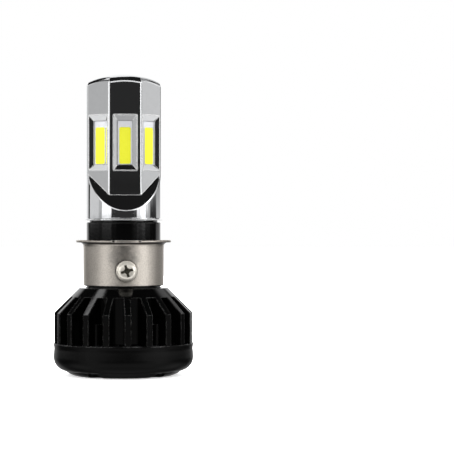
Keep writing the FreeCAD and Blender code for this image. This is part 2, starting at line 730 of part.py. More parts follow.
def make_impeller():
    inner_floor = HUB_BOTTOM_Z + 0.8
    hub = cylinder(HUB_R, HUB_BOTTOM_Z, HUB_TOP_Z)
    hub = hub.makeFillet(0.5, [e for e in hub.Edges if e.Closed and e.CenterOfMass.z < HUB_BOTTOM_Z + 0.1])
    hub = hub.cut(cylinder(YOKE_OUTER_R, inner_floor, HUB_TOP_Z))
    hub = hub.fuse(cylinder(1.1, inner_floor, inner_floor + 0.3))
    hub = hub.cut(cylinder(SHAFT_R, HUB_BOTTOM_Z + 0.3, HUB_TOP_Z))
    middle_z = (HUB_BOTTOM_Z + HUB_TOP_Z) / 2 + 0.3
    swept = tube(BLADE_TIP_R, HUB_R - 0.3, HUB_BOTTOM_Z + 0.2, FAN_TOP_Z - 1.4)
    blade = box(-2.7, 2.7, -BLADE_TIP_R - 1, -HUB_R + 0.4, -0.3, 0.3)
    blade.rotate(ORIGIN, vec(0, 1, 0), BLADE_PITCH_DEG)
    blade.translate(vec(0, 0, middle_z))
    blade = blade.common(swept)
    for i in range(BLADE_COUNT):
        hub = hub.fuse(around(blade, 360.0 / BLADE_COUNT * i))
    return hub


def make_fan():
    plate = MOTOR_PLATE_Z
    hub = HUB_BOTTOM_Z
    save("fan_frame", make_fan_frame())
    make_stator()
    save("fan_bearing", tube(BEARING_R, BEARING_BORE_R, hub + 1.35, plate - 0.05))
    save("fan_circuit_board", tube(STATOR_R + 0.2, BEARING_TUBE_R + 0.05, plate - 0.6, plate))
    save("fan_shaft", cylinder(SHAFT_R, hub + 0.3, plate - 0.15))
    save("rotor_yoke", tube(YOKE_OUTER_R, YOKE_INNER_R, hub + 0.8, HUB_TOP_Z))
    save("magnet_ring", tube(YOKE_INNER_R, MAGNET_INNER_R, hub + 1.2, HUB_TOP_Z))
    save("impeller", make_impeller())


# ---- end cap ----

CAP_INNER_R = 16.9
CAP_SCREW_HOLE_R = 1.05
CAP_SCREW_SEAT_Z = 2.4
CAP_SCREW_TIP_Z = CAP_TOP_Z + 4.0
CAP_SCREW_HEAD_R = 1.8
CAP_SCREW_HEAD_HEIGHT = 1.2
PILLAR_R = 2.6
CABLE_PAD_R = 2.78
CABLE_PAD_BOTTOM_Z = 0.9
CABLE_PAD_TOP_Z = 3.4
GRILLE_RINGS = ((4.2, 5.6), (6.6, 8.0), (9.0, 10.4))
GRILLE_SPOKES = 8
GRILLE_SPOKE_WIDTH = 1.2


def grille_slots():
    rings = Part.makeCompound([tube(outer, inner, -1, CAP_WALL + 1) for inner, outer in GRILLE_RINGS])
    half = GRILLE_SPOKE_WIDTH / 2
    spoke = box(-half, half, -CAP_FOOT_R, 0, -1, CAP_WALL + 1)
    spokes = [around(spoke, 360.0 / GRILLE_SPOKES * i) for i in range(GRILLE_SPOKES)]
    return rings.cut(Part.makeCompound(spokes))


def cap_outside():
    """The cap's outside as a full body: a flat foot, a round corner, a shallow waist and a crisp lip."""
    corner_x = CAP_R - CAP_CORNER_R
    waist_r = CAP_R - 0.16
    return turned(
        (0, 0),
        (CAP_FOOT_R, 0),
        ((CAP_FOOT_R + 1.5, 0.5), on_round(corner_x, CAP_BULGE_Z, CAP_CORNER_R, -82)),
        (on_round(corner_x, CAP_BULGE_Z, CAP_CORNER_R, -41), (CAP_R, CAP_BULGE_Z)),
        ((CAP_R - 0.06, CAP_BULGE_Z + 1.1), (waist_r, CAP_BULGE_Z + 2.1)),
        ((CAP_R - 0.12, CAP_BULGE_Z + 2.7), (CAP_R - 0.02, CAP_BULGE_Z + 3.1)),
        (CAP_R, CAP_TOP_Z - 0.35),
        (CAP_R, CAP_TOP_Z - 0.15),
        (CAP_R - 0.15, CAP_TOP_Z),
        (0, CAP_TOP_Z),
    )


def cap_inside():
    """The room inside the cap, open at the top."""
    corner_r = CAP_CORNER_R - CAP_WALL
    corner_x = CAP_INNER_R - corner_r
    return turned(
        (0, CAP_WALL),
        (CAP_FOOT_R, CAP_WALL),
        (corner_x, CAP_BULGE_Z - corner_r),
        (on_round(corner_x, CAP_BULGE_Z, corner_r, -45), (CAP_INNER_R, CAP_BULGE_Z)),
        (CAP_INNER_R, CAP_TOP_Z),
        (0, CAP_TOP_Z),
    )


def make_end_cap():
    outside = cap_outside()
    body = outside.cut(cap_inside()).cut(grille_slots())
    for azimuth in FIXING_DEGS:
        x, y = polar(FIXING_R, azimuth)
        body = body.fuse(cylinder(PILLAR_R, 0, EAR_BOTTOM_Z, x, y).common(outside))
        body = body.cut(cylinder(CAP_SCREW_HOLE_R, -1, EAR_BOTTOM_Z, x, y))
        body = body.cut(cylinder(CAP_SCREW_HEAD_R + 0.2, -1, CAP_SCREW_SEAT_Z, x, y))
    body = body.fuse(cylinder(CABLE_PAD_R, CABLE_PAD_BOTTOM_Z, CABLE_PAD_TOP_Z, 0, CABLE_Y))
    body = body.cut(cylinder(GROMMET_NECK_R + 0.02, -1, CABLE_PAD_TOP_Z + 1, 0, CABLE_Y))
    body = body.cut(cylinder(GROMMET_FLANGE_R + 0.1, -1, CABLE_PAD_BOTTOM_Z, 0, CABLE_Y))
    return body.removeSplitter()


def make_cap_screws():
    screws = []
    head_bottom = CAP_SCREW_SEAT_Z - CAP_SCREW_HEAD_HEIGHT
    cross_top = head_bottom + 0.6
    for azimuth in FIXING_DEGS:
        x, y = polar(FIXING_R, azimuth)
        head = cylinder(CAP_SCREW_HEAD_R, head_bottom, CAP_SCREW_SEAT_Z, x, y)
        cross = block(2.4, 0.5, head_bottom, cross_top, x, y)
        cross = cross.fuse(block(0.5, 2.4, head_bottom, cross_top, x, y))
        shank = cylinder(CAP_SCREW_HOLE_R - 0.05, CAP_SCREW_SEAT_Z, CAP_SCREW_TIP_Z, x, y)
        screws.append(head.cut(cross).fuse(shank))
    return screws


def make_grommet():
    lip = 0.6
    body = turned(
        (CABLE_R, CABLE_PAD_BOTTOM_Z - lip),
        (GROMMET_FLANGE_R - 0.3, CABLE_PAD_BOTTOM_Z - lip),
        (GROMMET_FLANGE_R, CABLE_PAD_BOTTOM_Z),
        (GROMMET_NECK_R, CABLE_PAD_BOTTOM_Z),
        (GROMMET_NECK_R, CABLE_PAD_TOP_Z),
        (GROMMET_FLANGE_R, CABLE_PAD_TOP_Z),
        (GROMMET_FLANGE_R, CABLE_PAD_TOP_Z + lip),
        (CABLE_R, CABLE_PAD_TOP_Z + lip),
    )
    body.translate(vec(0, CABLE_Y, 0))
    return body


os.makedirs("parts", exist_ok=True)
save("heat_sink", make_heat_sink())
front_shell, rear_shell = make_head_shells()
save("head_shell_front", front_shell)
save("head_shell_rear", rear_shell)
make_head_inside()
make_driver()
save("collar", make_collar())
save("clamp_nut", make_clamp_nut())
save("lock_washer", make_lock_washer())
save("clamp_screw", make_clamp_screw())
make_fan()
save("end_cap", make_end_cap())
save("cap_screws", *make_cap_screws())
save("cable_grommet", make_grommet())
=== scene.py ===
import json
import math

import bpy
from mathutils import Matrix, Vector


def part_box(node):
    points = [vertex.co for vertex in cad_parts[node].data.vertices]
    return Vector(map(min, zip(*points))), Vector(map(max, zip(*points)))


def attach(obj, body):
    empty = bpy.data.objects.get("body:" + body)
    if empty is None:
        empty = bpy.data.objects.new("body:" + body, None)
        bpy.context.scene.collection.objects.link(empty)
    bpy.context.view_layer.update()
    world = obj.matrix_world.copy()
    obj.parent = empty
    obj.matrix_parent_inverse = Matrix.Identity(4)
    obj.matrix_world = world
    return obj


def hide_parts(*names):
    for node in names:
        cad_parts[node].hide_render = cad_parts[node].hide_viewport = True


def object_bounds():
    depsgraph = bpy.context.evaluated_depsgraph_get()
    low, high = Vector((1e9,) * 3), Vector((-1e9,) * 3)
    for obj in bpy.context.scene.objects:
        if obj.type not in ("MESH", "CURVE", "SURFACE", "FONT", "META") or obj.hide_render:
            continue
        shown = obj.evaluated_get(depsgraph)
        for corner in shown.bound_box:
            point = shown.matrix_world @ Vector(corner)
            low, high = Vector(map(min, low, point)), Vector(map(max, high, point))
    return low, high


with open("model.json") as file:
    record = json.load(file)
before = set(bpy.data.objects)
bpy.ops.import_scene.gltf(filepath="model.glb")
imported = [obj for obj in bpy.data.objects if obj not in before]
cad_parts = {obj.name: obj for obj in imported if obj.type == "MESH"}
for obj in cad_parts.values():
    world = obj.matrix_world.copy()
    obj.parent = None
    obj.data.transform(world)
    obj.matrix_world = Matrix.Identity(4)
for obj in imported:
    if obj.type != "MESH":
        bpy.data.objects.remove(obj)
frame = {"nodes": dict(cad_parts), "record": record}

cad_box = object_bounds()
cad = frame["nodes"]
MM = 0.001


# ---- material helpers ----


def set_inputs(tree, node, inputs):
    for name, value in inputs.items():
        if isinstance(value, bpy.types.NodeSocket):
            tree.links.new(value, node.inputs[name])
        else:
            node.inputs[name].default_value = value


def add(tree, kind, inputs=None, **settings):
    """A new node with these settings. Inputs are values or the sockets that feed them."""
    node = tree.nodes.new(kind)
    for name, value in settings.items():
        setattr(node, name, value)
    set_inputs(tree, node, inputs or {})
    return node


def calc(tree, operation, a, b=0.0, c=0.0):
    return add(tree, "ShaderNodeMath", {0: a, 1: b, 2: c}, operation=operation).outputs[0]


def mix_number(tree, factor, a, b):
    """a where factor is 0, b where it is 1."""
    return calc(tree, "ADD", calc(tree, "MULTIPLY", calc(tree, "SUBTRACT", b, a), factor), a)


def sum_of_squares(tree, a, b):
    return calc(tree, "ADD", calc(tree, "POWER", a, 2.0), calc(tree, "POWER", b, 2.0))


def step(tree, value, low, high, from_value=0.0, to_value=1.0):
    """from_value below low, to_value above high, and a smooth change between."""
    inputs = {
        "Value": value,
        "From Min": low,
        "From Max": high,
        "To Min": from_value,
        "To Max": to_value,
    }
    return add(tree, "ShaderNodeMapRange", inputs, interpolation_type="SMOOTHSTEP").outputs[0]


def mix_colour(tree, factor, a, b):
    """Colour a where factor is 0, b where it is 1."""
    return add(tree, "ShaderNodeMix", {0: factor, 6: a, 7: b}, data_type="RGBA").outputs[2]


def grey(value):
    return (value, value, value, 1.0)


class Look:
    """One procedural material, measured in the object's own coordinates."""

    def __init__(self, slot, **shader):
        self.material = bpy.data.materials.new(slot)
        self.material.use_nodes = True
        self.tree = self.material.node_tree
        self.tree.nodes.clear()
        self.shader = add(self.tree, "ShaderNodeBsdfPrincipled")
        add(self.tree, "ShaderNodeOutputMaterial", {0: self.shader.outputs[0]})
        self.place = add(self.tree, "ShaderNodeTexCoord").outputs["Object"]
        self.height = None
        self.rounded = None
        self.set(**shader)

    def set(self, **shader):
        """Sets the shader's inputs, named in lower case with underscores."""
        inputs = {}
        for name, value in shader.items():
            inputs[name.replace("_", " ").title().replace("Ior", "IOR")] = value
        set_inputs(self.tree, self.shader, inputs)

    def noise(self, size_mm, detail=3.0, roughness=0.5, stretch=(1, 1, 1), distortion=0.0):
        """Noise whose features are about this size, from 0 to 1."""
        place = add(self.tree, "ShaderNodeMapping", {"Vector": self.place, "Scale": stretch})
        inputs = {
            "Vector": place.outputs[0],
            "Scale": 1.0 / (size_mm * MM),
            "Detail": detail,
            "Roughness": roughness,
            "Distortion": distortion,
        }
        return add(self.tree, "ShaderNodeTexNoise", inputs).outputs[0]

    def round_edges(self, radius_mm, turned=0.90):
        """Catches the light along edges as if they were rounded this much.

        Gives 1 where the rounding turns the normal at least this far (a cosine), 0 on flat places.
        """
        inputs = {"Radius": radius_mm * MM}
        self.rounded = add(self.tree, "ShaderNodeBevel", inputs, samples=4).outputs[0]
        sharp = add(self.tree, "ShaderNodeNewGeometry").outputs["Normal"]
        inputs = {0: self.rounded, 1: sharp}
        same = add(self.tree, "ShaderNodeVectorMath", inputs, operation="DOT_PRODUCT")
        return step(self.tree, same.outputs["Value"], turned, 0.995, 1.0, 0.0)

    def open_places(self, reach_mm):
        """1 where nothing else is this near, 0 in corners and gaps."""
        inputs = {"Distance": reach_mm * MM}
        light = add(self.tree, "ShaderNodeAmbientOcclusion", inputs, samples=4).outputs["AO"]
        return step(self.tree, light, 0.72, 0.92)

    def underside(self):
        """1 on surfaces that face down, 0 on upright ones."""
        facing = add(self.tree, "ShaderNodeNewGeometry").outputs["Normal"]
        up = add(self.tree, "ShaderNodeSeparateXYZ", {0: facing}).outputs["Z"]
        return step(self.tree, up, -0.70, -0.30, 1.0, 0.0)

    def part(self, axis):
        """The object's own x, y or z, in metres."""
        return add(self.tree, "ShaderNodeSeparateXYZ", {0: self.place}).outputs[axis]

    def bump(self, height, depth_mm):
        """Adds a relief this deep."""
        scaled = calc(self.tree, "MULTIPLY", height, depth_mm * MM)
        self.height = scaled if self.height is None else calc(self.tree, "ADD", self.height, scaled)

    def finish(self):
        if self.height is not None:
            inputs = {"Strength": 1.0, "Distance": 1.0, "Height": self.height}
            if self.rounded is not None:
                inputs["Normal"] = self.rounded
            relief = add(self.tree, "ShaderNodeBump", inputs)
            self.tree.links.new(relief.outputs[0], self.shader.inputs["Normal"])
        return self.material


# ---- metals ----

# hands and pliers have dulled the collar above its screw: the middle of that patch, and about
# how far it reaches
SMUDGE_X = -0.6 * MM
SMUDGE_Z = 31.7 * MM
SMUDGE_RADIUS = 4.0 * MM
# the patch is on the collar's front only: full in front of the first y, gone behind the second
SMUDGE_FRONT = (-4.0 * MM, -2.0 * MM)
# painted shade darkens the cross recess from this far below the face of the screw's head
RECESS_SHADE_DEPTH = 0.5 * MM
# the painted shade fades out between these shares of the head's radius
RECESS_SHADE_RIM = (0.74, 0.86)


def head_chrome():
    look = Look("head_chrome")
    tree = look.tree
    haze = look.noise(1.6, 5.0, 0.6)
    # painted highlight: the edges are made light grey and less metallic, so they show as bright
    # lines
    edge = look.round_edges(0.20, 0.955)
    plate = mix_colour(tree, haze, (0.90, 0.91, 0.92, 1), (0.82, 0.83, 0.845, 1))
    look.set(base_color=mix_colour(tree, edge, plate, grey(0.92)))
    look.set(metallic=calc(tree, "MULTIPLY_ADD", edge, -0.85, 1.0))
    scratches = step(tree, look.noise(0.22, 4.0, 0.6, (1, 1, 0.12)), 0.60, 0.74)
    base = mix_number(tree, haze, 0.020, 0.045)
    look.set(roughness=calc(tree, "MULTIPLY_ADD", scratches, 0.05, base))
    look.bump(look.noise(5.0, 1.0), 0.004)
    look.bump(look.noise(0.09, 2.0), 0.00012)
    return look.finish()


def satin_nickel():
    look = Look("satin_nickel")
    tree = look.tree
    tint = look.noise(2.2, 5.0, 0.65)
    fleck = step(tree, look.noise(0.26, 2.0, 0.6), 0.35, 0.70)
    clean = mix_colour(tree, tint, (0.79, 0.730, 0.655, 1), (0.90, 0.845, 0.770, 1))
    clean = mix_colour(tree, calc(tree, "MULTIPLY", fleck, 0.60), clean, (0.54, 0.49, 0.43, 1))
    across = calc(tree, "DIVIDE", calc(tree, "SUBTRACT", look.part("X"), SMUDGE_X), SMUDGE_RADIUS)
    up = calc(tree, "DIVIDE", calc(tree, "SUBTRACT", look.part("Z"), SMUDGE_Z), SMUDGE_RADIUS)
    patch = step(tree, sum_of_squares(tree, across, up), 0.15, 1.6, 1.0, 0.0)
    front = step(tree, look.part("Y"), *SMUDGE_FRONT, 1.0, 0.0)
    cloud = step(tree, look.noise(1.9, 4.0, 0.6), 0.10, 0.72)
    smudge = calc(tree, "MULTIPLY", calc(tree, "MULTIPLY", patch, front), cloud)
    wear_and_painted_light = mix_colour(tree, calc(tree, "MULTIPLY", smudge, 0.75), clean, (0.24, 0.225, 0.21, 1))
    # painted shade: darker in corners and gaps, round the screw's head and under the flange
    wear_and_painted_light = mix_colour(tree, look.open_places(0.6), (0.13, 0.12, 0.11, 1), wear_and_painted_light)
    # painted shade on the surfaces that face down
    wear_and_painted_light = mix_colour(tree, look.underside(), wear_and_painted_light, (0.07, 0.065, 0.06, 1))
    # painted highlight: the edges are made lighter, less metallic and smoother, so they show as
    # bright lines
    edge = look.round_edges(0.14)
    look.set(base_color=mix_colour(tree, edge, wear_and_painted_light, (0.92, 0.89, 0.86, 1)))
    look.set(metallic=calc(tree, "MULTIPLY_ADD", edge, -0.45, 1.0))
    rough = mix_number(tree, tint, 0.36, 0.43)
    look.set(roughness=calc(tree, "MULTIPLY_ADD", edge, -0.12, rough))
    look.bump(look.noise(0.06, 2.0, 0.6), 0.0016)
    look.bump(look.noise(0.35, 3.0, 0.6), 0.0032)
    look.bump(look.noise(3.2, 1.0), 0.006)
    return look.finish()


def machined(look):
    """The surface of small turned parts: rounded edges and fine machining marks."""
    look.round_edges(0.06)
    look.bump(look.noise(0.12, 3.0), 0.0012)
    look.bump(look.noise(1.2, 1.0), 0.003)
    return look.finish()


def small_metal(slot, light, dark, rough_low, rough_high):
    """A plain or plated metal with a soft change of tone and polish."""
    look = Look(slot, metallic=1.0)
    tree = look.tree
    tint = look.noise(0.8, 4.0, 0.6)
    look.set(base_color=mix_colour(tree, tint, light + (1,), dark + (1,)))
    look.set(roughness=mix_number(tree, look.noise(0.3, 3.0), rough_low, rough_high))
    return machined(look)


def bright_screw():
    """A plated pan head, with painted shade down in its cross recess."""
    look = Look("bright_nickel", metallic=0.55)
    tree = look.tree
    low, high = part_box("clamp_screw")
    head_r = (high[0] - low[0]) / 2
    across = calc(tree, "SUBTRACT", look.part("X"), (low[0] + high[0]) / 2)
    up = calc(tree, "SUBTRACT", look.part("Z"), (low[2] + high[2]) / 2)
    radius = calc(tree, "SQRT", sum_of_squares(tree, across, up))
    inside = step(tree, radius, RECESS_SHADE_RIM[0] * head_r, RECESS_SHADE_RIM[1] * head_r, 1.0, 0.0)
    deep = step(tree, look.part("Y"), low[1] + RECESS_SHADE_DEPTH / 2, low[1] + RECESS_SHADE_DEPTH)
    # painted shade: the cross recess, inside its rim and deeper than the face of the head, is made
    # near black
    recess_shade = calc(tree, "MULTIPLY", inside, deep)
    tint = look.noise(0.8, 4.0, 0.6)
    plate = mix_colour(tree, tint, (0.92, 0.88, 0.80, 1), (0.80, 0.75, 0.66, 1))
    painted_recess_shade = calc(tree, "MULTIPLY", recess_shade, 0.93)
    look.set(base_color=mix_colour(tree, painted_recess_shade, plate, (0.05, 0.045, 0.03, 1)))
    look.set(roughness=mix_number(tree, look.noise(0.3, 3.0), 0.16, 0.26))
    return machined(look)


# ---- paints and plastics ----


def black_gloss_paint():
    look = Look("black_gloss_paint", specular_ior_level=0.5)
    tree = look.tree
    tone = look.noise(3.0, 4.0, 0.6)
    dust = step(tree, look.noise(0.10, 1.0), 0.72, 0.75)
    colour = mix_colour(tree, tone, grey(0.0005), grey(0.0014))
    colour = mix_colour(tree, calc(tree, "MULTIPLY", dust, 0.12), colour, grey(0.03))
    # painted highlight: the outer edges, in patches, are made grey so they show as light lines
    edge = look.round_edges(0.13)
    outer = calc(tree, "MULTIPLY", edge, look.open_places(0.5))
    patches = step(tree, look.noise(1.1, 3.0, 0.6), 0.40, 0.64, 0.15, 1.0)
    painted_edge_highlight = calc(tree, "MULTIPLY", outer, patches)
    look.set(base_color=mix_colour(tree, painted_edge_highlight, colour, grey(0.09)))
    look.set(roughness=mix_number(tree, look.noise(0.7, 4.0, 0.6), 0.05, 0.10))
    look.bump(look.noise(0.55, 2.0, 0.4), 0.0022)
    look.bump(look.noise(0.12, 2.0), 0.0005)
    return look.finish()


def cap_plastic():
    look = Look("cap_plastic", specular_ior_level=0.12)
    tree = look.tree
    tone = look.noise(2.5, 5.0, 0.6)
    scuff = step(tree, look.noise(0.5, 6.0, 0.7, (1, 1, 3.0), 1.0), 0.60, 0.72)
    colour = mix_colour(tree, tone, grey(0.0006), grey(0.0014))
    colour = mix_colour(tree, calc(tree, "MULTIPLY", scuff, 0.25), colour, grey(0.008))
    # painted highlight: the rubbed edges, in patches, are made grey so they show as a broken light
    # line
    edge = look.round_edges(0.15)
    patches = step(tree, look.noise(2.4, 4.0, 0.7), 0.45, 0.60, 0.04, 1.0)
    wear_and_painted_light = calc(tree, "MULTIPLY", edge, patches)
    look.set(base_color=mix_colour(tree, wear_and_painted_light, colour, grey(0.16)))
    rough = mix_number(tree, tone, 0.32, 0.42)
    look.set(roughness=calc(tree, "MULTIPLY_ADD", edge, -0.15, rough))
    look.bump(look.noise(0.10, 3.0, 0.6), 0.0025)
    look.bump(look.noise(2.0, 2.0), 0.010)
    return look.finish()


def moulded(slot, colour, shade, rough, grain_mm=0.12, relief_mm=0.002):
    """Moulded plastic, rubber or ferrite: a fine surface texture over a soft change of tone."""
    look = Look(slot)
    tree = look.tree
    look.set(base_color=mix_colour(tree, look.noise(1.5, 4.0, 0.6), colour + (1,), shade + (1,)))
    look.set(roughness=mix_number(tree, look.noise(0.5, 3.0), rough - 0.06, rough + 0.06))
    look.bump(look.noise(grain_mm, 3.0, 0.6), relief_mm)
    return look.finish()


# ---- LEDs, boards and fan ----


def phosphor():
    look = Look("phosphor", specular_ior_level=0.25, coat_weight=0.15, coat_roughness=0.25)
    tree = look.tree
    grain = look.noise(0.09, 3.0, 0.7)
    cloud = look.noise(1.2, 3.0, 0.6)
    colour = mix_colour(tree, cloud, (0.92, 0.92, 0.045, 1), (0.84, 0.84, 0.028, 1))
    dots = calc(tree, "MULTIPLY", step(tree, grain, 0.58, 0.70), 0.35)
    look.set(base_color=mix_colour(tree, dots, colour, (0.96, 0.96, 0.14, 1)))
    look.set(roughness=mix_number(tree, grain, 0.38, 0.55))
    look.bump(grain, 0.003)
    return look.finish()


def white_ceramic():
    look = Look("led_ceramic", specular_ior_level=0.4)
    tree = look.tree
    tone = look.noise(0.9, 4.0, 0.6)
    look.set(base_color=mix_colour(tree, tone, (0.74, 0.75, 0.78, 1), (0.66, 0.67, 0.70, 1)))
    look.set(roughness=mix_number(tree, look.noise(0.4, 3.0), 0.30, 0.42))
    look.bump(look.noise(0.06, 3.0), 0.0008)
    return look.finish()


def circuit_board(slot, colour, shade):
    """Solder mask over copper tracks, which show as a slight relief."""
    look = Look(slot, coat_weight=0.3, coat_roughness=0.15)
    tree = look.tree
    inputs = {
        "Vector": look.place,
        "Scale": 1400.0,
        "Row Height": 0.6,
        "Brick Width": 2.6,
        "Mortar Size": 0.08,
    }
    tracks = add(tree, "ShaderNodeTexBrick", inputs).outputs["Fac"]
    look.set(base_color=mix_colour(tree, tracks, colour + (1,), shade + (1,)))
    look.set(roughness=mix_number(tree, look.noise(0.4, 3.0), 0.30, 0.42))
    look.bump(tracks, 0.01)
    return look.finish()


LAMINATION_PITCH = 0.2 * MM
WIRE_PITCH = 0.16 * MM


def ripple(look, pitch):
    """Waves along z, one to each pitch."""
    return calc(look.tree, "SINE", calc(look.tree, "MULTIPLY", look.part("Z"), 2 * math.pi / pitch))


def laminations():
    look = Look("lamination_steel", metallic=1.0)
    tree = look.tree
    sheets = ripple(look, LAMINATION_PITCH)
    look.set(base_color=mix_colour(tree, look.noise(0.6, 4.0), grey(0.34), grey(0.24)))
    look.set(roughness=mix_number(tree, look.noise(0.2, 3.0), 0.4, 0.55))
    look.bump(sheets, 0.01)
    return look.finish()


def winding():
    look = Look("copper_winding", metallic=1.0, coat_weight=0.5, coat_roughness=0.1)
    tree = look.tree
    turns = ripple(look, WIRE_PITCH)
    enamel = mix_colour(tree, look.noise(0.5, 3.0), (0.62, 0.22, 0.08, 1), (0.50, 0.16, 0.06, 1))
    look.set(base_color=enamel)
    look.set(roughness=mix_number(tree, look.noise(0.2, 3.0), 0.25, 0.35))
    look.bump(turns, 0.03)
    return look.finish()


BLACK_PLASTIC = ((0.016, 0.016, 0.017), (0.026, 0.026, 0.027))

# light and dark tone, lowest and highest roughness
SMALL_METALS = {
    "dark_steel": ((0.16, 0.15, 0.14), (0.09, 0.085, 0.08), 0.25, 0.40),
    "zinc_steel": ((0.62, 0.62, 0.61), (0.50, 0.50, 0.50), 0.22, 0.34),
    "tin_plate": ((0.80, 0.80, 0.79), (0.70, 0.70, 0.70), 0.18, 0.28),
    "black_steel": ((0.07, 0.07, 0.075), (0.04, 0.04, 0.042), 0.30, 0.45),
    "copper": ((0.80, 0.42, 0.27), (0.66, 0.32, 0.20), 0.25, 0.38),
    "bearing_bronze": ((0.60, 0.42, 0.22), (0.48, 0.32, 0.16), 0.38, 0.52),
    "capacitor_can": ((0.66, 0.67, 0.69), (0.56, 0.57, 0.59), 0.25, 0.36),
}
# the two tones, roughness, then grain and relief in millimetres where they aren't the usual ones
MOULDED = {
    "fan_plastic": (*BLACK_PLASTIC, 0.42),
    "chip_black": (*BLACK_PLASTIC, 0.50, 0.06, 0.001),
    "ferrite": ((0.045, 0.045, 0.05), (0.06, 0.06, 0.065), 0.55, 0.08, 0.003),
    "rubber": ((0.018, 0.018, 0.018), (0.030, 0.030, 0.030), 0.62, 0.15, 0.004),
    "connector_white": ((0.80, 0.79, 0.74), (0.72, 0.71, 0.66), 0.45),
    "wire_red": ((0.50, 0.02, 0.02), (0.40, 0.02, 0.02), 0.35),
    "wire_black": (*BLACK_PLASTIC, 0.35),
}
# the two tones
BOARDS = {
    "board_white": ((0.82, 0.83, 0.84), (0.74, 0.75, 0.77)),
    "board_green": ((0.020, 0.16, 0.06), (0.035, 0.22, 0.09)),
}

# one for each of the record's material slots
LOOKS = {
    "head_chrome": head_chrome(),
    "satin_nickel": satin_nickel(),
    "bright_nickel": bright_screw(),
    "lamination_steel": laminations(),
    "copper_winding": winding(),
    "black_gloss_paint": black_gloss_paint(),
    "cap_plastic": cap_plastic(),
    "phosphor": phosphor(),
    "led_ceramic": white_ceramic(),
}
for slot, values in SMALL_METALS.items():
    LOOKS[slot] = small_metal(slot, *values)
for slot, values in MOULDED.items():
    LOOKS[slot] = moulded(slot, *values)
for slot, values in BOARDS.items():
    LOOKS[slot] = circuit_board(slot, *values)

for row in frame["record"]["subparts"]:
    for place in cad[row["node"]].material_slots:
        place.material = LOOKS[row["material_slot"]]


# ---- silicone over the LEDs ----

# how far each LED's facet is turned from the front, in degrees
FACET_TURNS = {
    "front_left": -40,
    "front_centre": 0,
    "front_right": 40,
    "rear_right": 140,
    "rear_centre": 180,
    "rear_left": 220,
}
PAD_CORNER = 0.5 * MM
# how proud the middle of a pad stands
PAD_CROWN = 0.07 * MM
# the rim of the pad's face is rounded off by this much, within this reach of its edge
PAD_LIP = 0.03 * MM
PAD_LIP_REACH = 0.06 * MM
# how far in from the pad's outline each ring of its points lies: its back edge, then its face
PAD_INSETS_MM = (0.0, 0.0, 0.02, 0.06, 0.14, 0.3, 0.55, 0.85, 1.15)
CORNER_STEPS = 6
# the white bead round a pad is an ellipse this wide, with this half depth, its middle sunk
# behind the rim of the pad's face by that share of the half depth
DAM_WIDTH = 0.11 * MM
DAM_RISE = 0.06 * MM
DAM_SINK = 0.3
DAM_SIDES = 8


def rounded_outline(half_w, half_h, corner):
    """Points (x, z) round a rectangle with rounded corners."""
    corner = min(corner, half_w, half_h)
    points = []
    for i, (sx, sz) in enumerate(((1, 1), (-1, 1), (-1, -1), (1, -1))):
        for k in range(CORNER_STEPS + 1):
            a = math.radians(90 * i + 90 * k / CORNER_STEPS)
            x = sx * (half_w - corner) + corner * math.cos(a)
            points.append((x, sz * (half_h - corner) + corner * math.sin(a)))
    return points


def bridge(rings, closed_loop=False):
    """Faces that join each ring of points to the next."""
    count = len(rings[0])
    pairs = len(rings) if closed_loop else len(rings) - 1
    faces = []
    for i in range(pairs):
        here = i * count
        there = (i + 1) % len(rings) * count
        for k in range(count):
            after = (k + 1) % count
            faces.append((here + k, here + after, there + after, there + k))
    return faces


def new_piece(name, slot, rings, faces, middle, turn):
    """A smooth mesh made at the front, facing -Y, then turned to its facet."""
    mesh = bpy.data.meshes.new(name)
    mesh.from_pydata([point for ring in rings for point in ring], [], faces)
    mesh.transform(Matrix.Translation(middle) @ Matrix.Rotation(math.radians(turn), 4, "Z"))
    mesh.polygons.foreach_set("use_smooth", [True] * len(mesh.polygons))
    mesh.materials.append(LOOKS[slot])
    piece = bpy.data.objects.new(name, mesh)
    bpy.context.collection.objects.link(piece)
    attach(piece, "lamp")
    return piece


def make_phosphor_pad(facet, turn, half_w, half_h, half_d):
    """A pad of silicone that stands a little proud in its middle, as a poured one does."""
    node = "phosphor_" + facet
    low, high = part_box(node)
    middle = (Vector(low) + Vector(high)) / 2
    rings = []
    for i, inset_mm in enumerate(PAD_INSETS_MM):
        inset = inset_mm * MM
        crown = PAD_CROWN * (1 - (1 - inset / half_w) ** 2)
        rounded_off = PAD_LIP * (1 - min(1.0, inset / PAD_LIP_REACH))
        depth = half_d if i == 0 else rounded_off - half_d - crown
        outline = rounded_outline(half_w - inset, half_h - inset, PAD_CORNER)
        rings.append([(x, depth, z) for x, z in outline])
    count = len(rings[0])
    faces = bridge(rings)
    faces.append(tuple(range(count - 1, -1, -1)))
    faces.append(tuple(range((len(rings) - 1) * count, len(rings) * count)))
    pad = new_piece("pad_" + facet, "phosphor", rings, faces, middle, turn)
    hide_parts(node)


def make_dam(facet, turn, half_w, half_h, half_d):
    """The low bead of white silicone that the pad was poured into."""
    low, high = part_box("phosphor_" + facet)
    middle = (Vector(low) + Vector(high)) / 2
    rings = []
    for i in range(DAM_SIDES):
        a = math.radians(360 / DAM_SIDES * i)
        out = DAM_WIDTH / 2 * (1 + math.cos(a))
        depth = -half_d + DAM_RISE * DAM_SINK - DAM_RISE * math.sin(a)
        outline = rounded_outline(half_w + out, half_h + out, PAD_CORNER + out)
        rings.append([(x, depth, z) for x, z in outline])
    new_piece("dam_" + facet, "led_ceramic", rings, bridge(rings, True), middle, turn)


def make_light_source():
    low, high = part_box("phosphor_front_centre")
    half_w, half_d, half_h = [(b - a) / 2 for a, b in zip(low, high)]
    for facet, turn in FACET_TURNS.items():
        make_phosphor_pad(facet, turn, half_w, half_h, half_d)
        make_dam(facet, turn, half_w, half_h, half_d)


make_light_source()


# ---- surroundings ----

